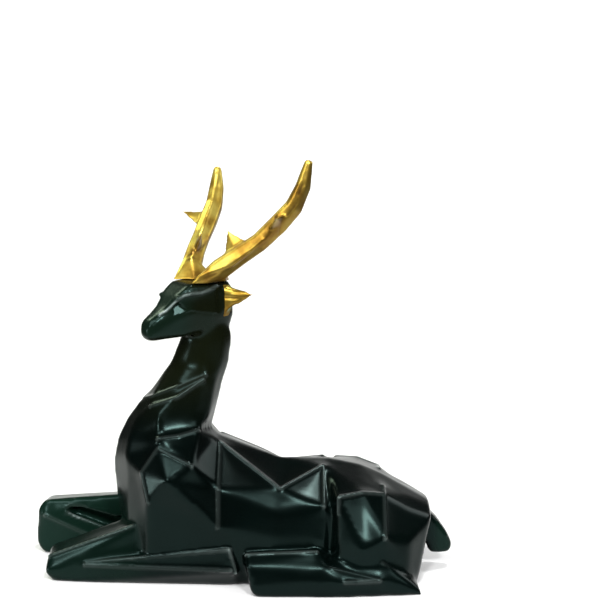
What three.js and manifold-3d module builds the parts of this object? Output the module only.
// A reclining deer: a small painted resin casting, cut in broad flat planes, with two gilded antlers glued
// to its crown. Units are millimetres and +Z is up. The deer lies with its breast towards -X and turns its
// head over its near flank, which is the one towards -Y. The origin is under the middle of its box, on
// what it lies on.
import * as THREE from "three";
import { ConvexGeometry } from "three/addons/geometries/ConvexGeometry.js";
import { mergeVertices } from "three/addons/utils/BufferGeometryUtils.js";
import Module from "manifold-3d";

const wasm = await Module();
wasm.setup();

// Driving dimensions.
const figureLength = 217.4; // knees to tail
const figureWidth = 95; // across the hocks
const crownHeight = 149.2; // ground to the flat crown, on which the antlers stand
const antlerHeight = 60; // crown to the tip of the near antler
const antlerBreadth = 12.4; // of a beam above its foot, front to back
const antlerDepth = 10; // and from side to side
const tineThickness = 6.4; // where a tine leaves the beam
const footOut = 6.5; // the middle of an antler's foot, out from the middle of the head
const seatGap = 0.3; // glue line between the crown and an antler's foot
const headTurn = THREE.MathUtils.degToRad(35); // the head looks this far round towards the near side

// The carving below is drawn for the dimensions above, and is stretched with them when they change.
const stretch = new THREE.Vector3(figureLength / 217.4, figureWidth / 95, crownHeight / 149.2);

const lacquer = new THREE.MeshStandardMaterial({ color: 0x10251f, roughness: 0.28, metalness: 0 });
const gilding = new THREE.MeshStandardMaterial({ color: 0xd2a036, roughness: 0.34, metalness: 0.85 });

const NEAR = -1; // sign of y on the near side
const FAR = 1;
const antlerRise = { [NEAR]: 1, [FAR]: 0.855 }; // the far antler leans: it stands lower than its twin
const antlerSpread = { [NEAR]: 1, [FAR]: 1.12 }; // and spreads wider

const at = (x, y, z) => new THREE.Vector3(x, y, z).multiply(stretch);

// Six times the signed volume between the origin and a triangle.
const sweep = (a, b, c) => a.dot(b.clone().cross(c));

// A closed three.js geometry as a solid that can be joined and cut.
function solidOf(geometry) {
  for (const name of Object.keys(geometry.attributes)) {
    if (name !== "position") geometry.deleteAttribute(name);
  }
  const merged = mergeVertices(geometry, 1e-4);
  return new wasm.Manifold(
    new wasm.Mesh({
      numProp: 3,
      vertProperties: merged.attributes.position.array,
      triVerts: new Uint32Array(merged.index.array),
    }),
  );
}

// A solid as a named mesh of the figure.
function meshOf(solid, name, material) {
  const cut = solid.getMesh();
  const geometry = new THREE.BufferGeometry();
  geometry.setAttribute("position", new THREE.BufferAttribute(cut.vertProperties, cut.numProp));
  geometry.setIndex(new THREE.BufferAttribute(cut.triVerts, 1));
  geometry.computeVertexNormals();
  const mesh = new THREE.Mesh(geometry, material);
  mesh.name = name;
  return mesh;
}

// The convex block that just holds the corners.
const block = (corners) => solidOf(new ConvexGeometry(corners));

// A skin stretched over ribs, which are loops with the same number of corners. Each four-cornered panel is
// folded along the diagonal that stands proud, so that neighbouring planes meet in ridges.
function skin(ribs) {
  const count = ribs[0].length;
  const panels = [];
  ribs.slice(1).forEach((next, i) => {
    ribs[i].forEach((corner, k) => {
      panels.push([corner, ribs[i][(k + 1) % count], next[(k + 1) % count], next[k]]);
    });
  });
  const triangles = [];
  const cap = (rib, turn) => {
    const middle = rib.reduce((sum, p) => sum.add(p), at(0, 0, 0)).divideScalar(count);
    rib.forEach((corner, k) => {
      const edge = [corner, rib[(k + 1) % count]];
      triangles.push([middle, edge[turn], edge[1 - turn]]);
    });
  };
  cap(ribs[0], 1);
  cap(ribs.at(-1), 0);
  const flat = panels.flatMap(([a, b, c, d]) => [[a, b, c], [a, c, d]]);
  const hand = Math.sign([...triangles, ...flat].reduce((sum, t) => sum + sweep(...t), 0));
  for (const [a, b, c, d] of panels) {
    const proud = sweep(a, b, c) + sweep(a, c, d) - sweep(a, b, d) - sweep(b, c, d);
    triangles.push(...(hand * proud > 0 ? [[a, b, c], [a, c, d]] : [[a, b, d], [b, c, d]]));
  }
  const facing = hand > 0 ? triangles : triangles.map(([a, b, c]) => [a, c, b]);
  return solidOf(new THREE.BufferGeometry().setFromPoints(facing.flat()));
}

// A rib that is alike on both sides: a point on the back, corners of one side as [x, out, z], and a point
// on the front.
function twinRib(back, side, front) {
  const flank = (sign) => side.map(([x, out, z]) => at(x, sign * out, z));
  return [at(back[0], 0, back[1]), ...flank(NEAR), at(front[0], 0, front[1]), ...flank(FAR).reverse()];
}

// The same block on both sides of the middle, from corners given as [x, out, z].
const pairOfBlocks = (corners) =>
  [NEAR, FAR].map((sign) => block(corners.map(([x, out, z]) => at(x, sign * out, z))));

const joined = (solids) => solids.reduce((sum, next) => sum.add(next));

// Trunk: upright ribs from the breast to the rump. The second corner, at the edge of the back, drops to a
// valley behind the shoulder and climbs to the point of the hip. A groove parts the barrel from the
// haunch.
function trunk() {
  const rib = (x, back, flank, lean = 0) => {
    const behind = (z) => x - lean * (back - z);
    return twinRib([x, back], flank.map(([out, z]) => [behind(z), out, z]), [behind(0), 0]);
  };
  return skin([
    rib(-48, 54, [[9, 52], [20, 46], [25, 33], [24, 13], [20, 0]]),
    rib(-34, 62, [[8, 60], [23, 48], [29, 33], [28, 13], [24, 0]]),
    rib(-12.5, 69, [[8.5, 67.5], [31, 50], [35.5, 32], [33, 12], [28, 0]]),
    rib(18, 57.4, [[28, 49], [34, 39], [36, 25], [34, 10], [29, 0]]),
    rib(39.5, 57, [[11, 56], [33.5, 42], [35.5, 25], [34, 10], [30, 0]]),
    rib(43, 56.8, [[15, 54.4], [31, 42.5], [32, 25], [31, 10], [29, 0]]),
    rib(46.5, 56.3, [[17, 53.6], [37.5, 48], [40.5, 26], [40, 11], [37, 0]]),
    rib(58, 53.9, [[16, 51.4], [33, 48.7], [45.5, 24.5], [43, 10], [40, 0]]),
    rib(69, 49.2, [[17, 47.2], [27, 46], [42.5, 29], [42, 12], [39, 0]]),
    rib(83, 41.2, [[12, 40], [23, 37], [34, 25], [37, 11], [35, 0]], 0.08),
    rib(94.5, 34.4, [[8, 33.6], [17.5, 31.5], [23.5, 17], [28, 7], [28, 0]], 0.25),
  ]);
}

// Neck and breast: ribs from the head down, then fanning out over the shoulders to the ground. Two pairs
// of ribs lie close together: they are the ledges where one layer of the coat overlaps the next. The lower
// ribs carry the point of the shoulder, with the long ridge of the shoulder blade above it.
function neck() {
  return skin([
    twinRib([-11.5, 134], [[-13.5, 6.5, 133], [-17, 8.5, 132], [-24, 8, 130], [-28, 4, 129]], [-30, 128]),
    twinRib(
      [-6, 121], [[-10, 7, 121.5], [-17, 10.8, 121.5], [-25.6, 9.5, 120.5], [-30.6, 5, 119.5]],
      [-32.8, 119],
    ),
    twinRib(
      [-7.8, 107], [[-12, 8, 107.5], [-20, 11.8, 107.5], [-29, 10, 107], [-35, 5.5, 107]],
      [-37.6, 107],
    ),
    twinRib([-11, 98], [[-14, 8.5, 101], [-19, 12, 103], [-33, 14, 97.2], [-45.4, 11, 91.7]], [-50.8, 88]),
    twinRib(
      [-12, 94], [[-15, 9.5, 97.5], [-20, 13, 100.8], [-33, 17.5, 92.6], [-46.3, 15, 87.6]],
      [-54, 85.8],
    ),
    twinRib([-15, 82], [[-18, 12, 82], [-26, 18, 82], [-42, 21.5, 84], [-54, 12.5, 80]], [-60, 78]),
    twinRib([-16.8, 75], [[-22.4, 17.5, 78], [-32, 21.5, 76.5], [-41.8, 24, 75.8], [-57, 14, 72]], [-64, 70]),
    twinRib(
      [-17.4, 73.5], [[-22.5, 19.5, 76.5], [-32, 24, 74.8], [-42, 26, 74], [-57.5, 14.5, 70]],
      [-65, 67.5],
    ),
    twinRib([-14, 70], [[-14.5, 9.5, 69], [-24.7, 34, 62.5], [-41.7, 27.5, 69.5], [-59, 15, 62]], [-67, 58]),
    twinRib([-8, 50], [[-12.7, 30, 50.5], [-36.3, 38, 56.3], [-49.8, 28, 57.6], [-58, 16.5, 53]], [-67, 49]),
    twinRib([-8, 36], [[-10, 24, 35], [-13.2, 35.3, 33], [-46.4, 33, 44], [-58.3, 18, 33]], [-65.5, 33]),
    twinRib([-8, 14], [[-10, 24, 14], [-14, 33.3, 12.5], [-47, 30.5, 17], [-58.5, 18.5, 17]], [-62.5, 17]),
    twinRib([-8, 0], [[-10, 22, 0], [-15, 28, 0], [-46, 26, 0], [-56, 15, 0]], [-60, 0]),
  ]);
}

// Near foreleg: the forearm slopes down to the knee, and the cannon bone lies folded back along the ground
// under it, standing prouder towards the hoof.
function nearForeleg() {
  const side = (corners) => block(corners.map(([x, out, z]) => at(x, NEAR * out, z)));
  return [
    side([
      [-97.6, 21.5, 12.3], [-40, 24.6, 34.6], [-99.6, 25.5, 5], [-35, 28.5, 8], [-98.8, 7, 13.5],
      [-44, 10, 35.5], [-100, 15, 5], [-96, 24, 0], [-97, 6, 0], [-35, 6, 0], [-35, 26, 0],
    ]),
    side([
      [-79, 25.8, 10.4], [-79, 26.8, 9.6], [-7, 36, 20.8], [-6, 37.2, 10.6], [-3.5, 36, 8.7], [-5, 29.5, 0],
      [-92, 25, 0], [-92, 12, 0], [-79, 12, 10], [-5, 12, 0], [-7, 20, 20.8],
    ]),
  ];
}

// Far foreleg: set further forward, with a hollow between the forearm and the folded cannon bone under it.
function farForeleg() {
  const side = (corners) => block(corners.map(([x, out, z]) => at(x, FAR * out, z)));
  const leg = side([
    [-106.4, 17, 28.8], [-106, 33, 26.5], [-42, 16, 34], [-42, 34, 30], [-110, 17, 24], [-108, 35, 21],
    [-106, 14.2, 21.6], [-82.5, 13, 11], [-111.4, 17, 6.5], [-109.5, 16, 2.5], [-106.5, 15.5, 0],
    [-74, 12.5, 0], [-42, 14, 10], [-42, 14, 0], [-42, 34, 0], [-106, 34, 0],
  ]);
  const hollow = side([
    [-99.5, 10, 25.4], [-95, 10, 28.6], [-88.5, 10, 28.4], [-46, 10, 16], [-46, 10, 3.8],
    [-91, 20, 19.8], [-91, 20, 24], [-84.5, 20, 24.8], [-46, 20, 13.6], [-46, 20, 1.6],
  ]);
  return [leg.subtract(hollow)];
}

// Hind feet: the shank and hock lie along the ground beside the rump, and the foot runs forward under the
// haunch.
const hindLegs = () => [
  ...pairOfBlocks([
    [0.5, 38, 19], [1.5, 44, 15], [3.4, 46.5, 4.2], [6, 46, 0], [1, 28, 18.5], [4, 28, 0], [36, 38.5, 20.7],
    [40, 45, 14], [49.5, 47.5, 8.4], [50, 46.3, 0], [50, 30, 0], [40, 30, 20],
  ]),
  ...pairOfBlocks([
    [40, 43, 14.5], [66.4, 46.5, 9], [49.5, 47.5, 8.4], [50, 46.3, 0], [67.5, 42.5, 16.7], [79, 40, 6.4],
    [86, 43, 3], [87.5, 43, 0], [86, 30, 0], [84, 30, 6], [50, 30, 0], [46, 32, 20], [66, 32, 20],
  ]),
];

// Tail: a short leaf hanging off the rump.
const tail = () =>
  block([NEAR, FAR].flatMap((sign) => [
    at(91, sign * 6, 33), at(90, sign * 7, 18), at(98.5, sign * 5.5, 24.5), at(103, sign * 4.5, 18),
    at(106, sign * 3, 11.5), at(104.8, sign * 3, 7.4), at(94.5, sign * 4, 7),
  ]));

// The head is carved facing -X, then turned about the upright line through the top of the neck. A point of
// it is given as how far ahead of that line, how far out from the middle of the face, and how high above
// the crown.
const headAxis = at(-17, 0, 0).setZ(crownHeight);
const turned = (solid) =>
  solid.rotate([0, 0, THREE.MathUtils.radToDeg(headTurn)]).translate(headAxis.toArray());

// Down each side of the head run the edge of the crown, the brow, the hollow of the eye, the cheekbone and
// the jaw.
function head() {
  const rib = (ahead, top, side, chin) =>
    twinRib([-ahead, top], side.map(([out, z]) => [-ahead, out, z]), [-ahead, chin]);
  return skin([
    rib(38.4, -19.4, [[2, -19.5], [3.2, -20.4], [3.7, -21.8], [3.8, -24.2], [2.8, -25.4]], -25.7),
    rib(36.5, -16.6, [[2.8, -16.7], [4.4, -17.3], [5, -19], [5.3, -23], [3.8, -26.8]], -27.3),
    rib(32, -13.6, [[3.2, -13.7], [4.8, -14.4], [5.6, -16.2], [6.1, -18.8], [4.7, -27.1]], -27.4),
    rib(28.5, -10.8, [[4.2, -11], [5.7, -12.1], [5.9, -14.8], [6.8, -17.8], [5, -26.8]], -27.2),
    rib(23, -4.8, [[6.6, -4.8], [8.9, -5.5], [6.2, -9.9], [8.2, -14.8], [5.6, -26.4]], -27.2),
    rib(17, 0, [[9, 0], [10.5, -4.1], [7.6, -8.8], [9.7, -12.8], [6.8, -26.2]], -26.8),
    rib(4, 0, [[9.6, 0], [11.2, -2.2], [10, -8.2], [11, -15.2], [8.5, -24.7]], -25.2),
    rib(-6, 0, [[7.2, 0], [8.6, -3.2], [9, -9.2], [9.2, -17.2], [7, -23.2]], -23.2),
    rib(-9.5, -4.2, [[4.5, -4.2], [5.5, -7.2], [6, -11.2], [6.5, -17.2], [5, -22.2]], -22.2),
  ]);
}

// Ears: pointed leaves that stand out behind the antlers, gilded on the casting.
const ears = () =>
  pairOfBlocks([
    [-1, 8.5, -2.2], [0.5, 9.9, -17.4], [7, 6, -3.2], [5, 7, -12], [13.4, 21, -5.6], [4, 13.5, -9.2],
  ]);

// Antlers: one beam that sweeps out, back and up from a long foot, with two tines. The first tine rises
// from the inner edge, and the second points forward and outward. Points are given as on the head.
function antler(sign) {
  const climb = (antlerRise[sign] * antlerHeight) / 60;
  const onHead = (ahead, out, z) =>
    at(-ahead, sign * (footOut + antlerSpread[sign] * (out - footOut)), 0).setZ(climb * z);
  const path = new THREE.CatmullRomCurve3([
    [6.5, 7.5, 0.8], [2.4, 12.8, 6.6], [-4.6, 19.6, 13.6], [-12.3, 26, 20.4], [-20, 31, 29.2],
    [-26.3, 35, 37.4], [-29.9, 37.9, 47.4], [-32, 39.9, 60],
  ].map((p) => onHead(...p)));
  const sideways = new THREE.Vector3(0, 1, 0);
  const beamPoint = (share, forward, outward) => {
    const along = path.getTangent(share);
    const edge = along.clone().cross(sideways).normalize();
    const face = edge.clone().cross(along).normalize();
    return path.getPoint(share).addScaledVector(edge, forward).addScaledVector(face, sign * outward);
  };
  const taper = [
    [1.1, 1], [0.93, 0.96], [0.84, 0.96], [0.8, 0.92], [0.86, 0.9], [0.8, 0.84], [0.66, 0.7], [0.3, 0.34],
  ];
  const section = [[1, 0.3], [0.3, 1], [-0.8, 0.6], [-1, -0.3], [-0.3, -1], [0.8, -0.6]];
  const beamRib = ([broad, deep], i) =>
    section.map(([u, v]) =>
      beamPoint(i / (taper.length - 1), (u * broad * antlerBreadth) / 2, (v * deep * antlerDepth) / 2));
  const foot = [[16.5, 2], [10, 5], [-1, 4.5], [-6.5, 1.5], [0, -3.6], [8, -4.5]].map(([ahead, beyond]) =>
    at(-ahead, sign * (footOut + beyond), 0).setZ(seatGap));
  const tine = (share, halfRoot, tip) => {
    const half = tineThickness / 2;
    const roots = [[-halfRoot, 0], [halfRoot, 0], [0, -half], [0, half]];
    return block([onHead(...tip), ...roots.map(([along, v]) => beamPoint(share + along, 0, v))]);
  };
  return joined([
    skin([foot, ...taper.map(beamRib).slice(1)]),
    tine(0.28, 0.12, [-2.6, 11.4, 26.6]),
    tine(0.57, 0.1, [-10.6, 42.5, 34]),
  ]);
}

const deer = joined([
  trunk(), neck(), ...nearForeleg(), ...farForeleg(), ...hindLegs(), tail(), turned(head()),
  ...ears().map(turned),
]);
const figure = new THREE.Group();
figure.add(meshOf(deer, "deer", lacquer));
figure.add(meshOf(turned(antler(NEAR)), "antler_near", gilding));
figure.add(meshOf(turned(antler(FAR)), "antler_far", gilding));

// Set the origin under the middle of the whole figure's box.
const box = new THREE.Box3().setFromObject(figure, true);
const middle = box.getCenter(new THREE.Vector3());
figure.position.set(-middle.x, -middle.y, -box.min.z);

export default figure;
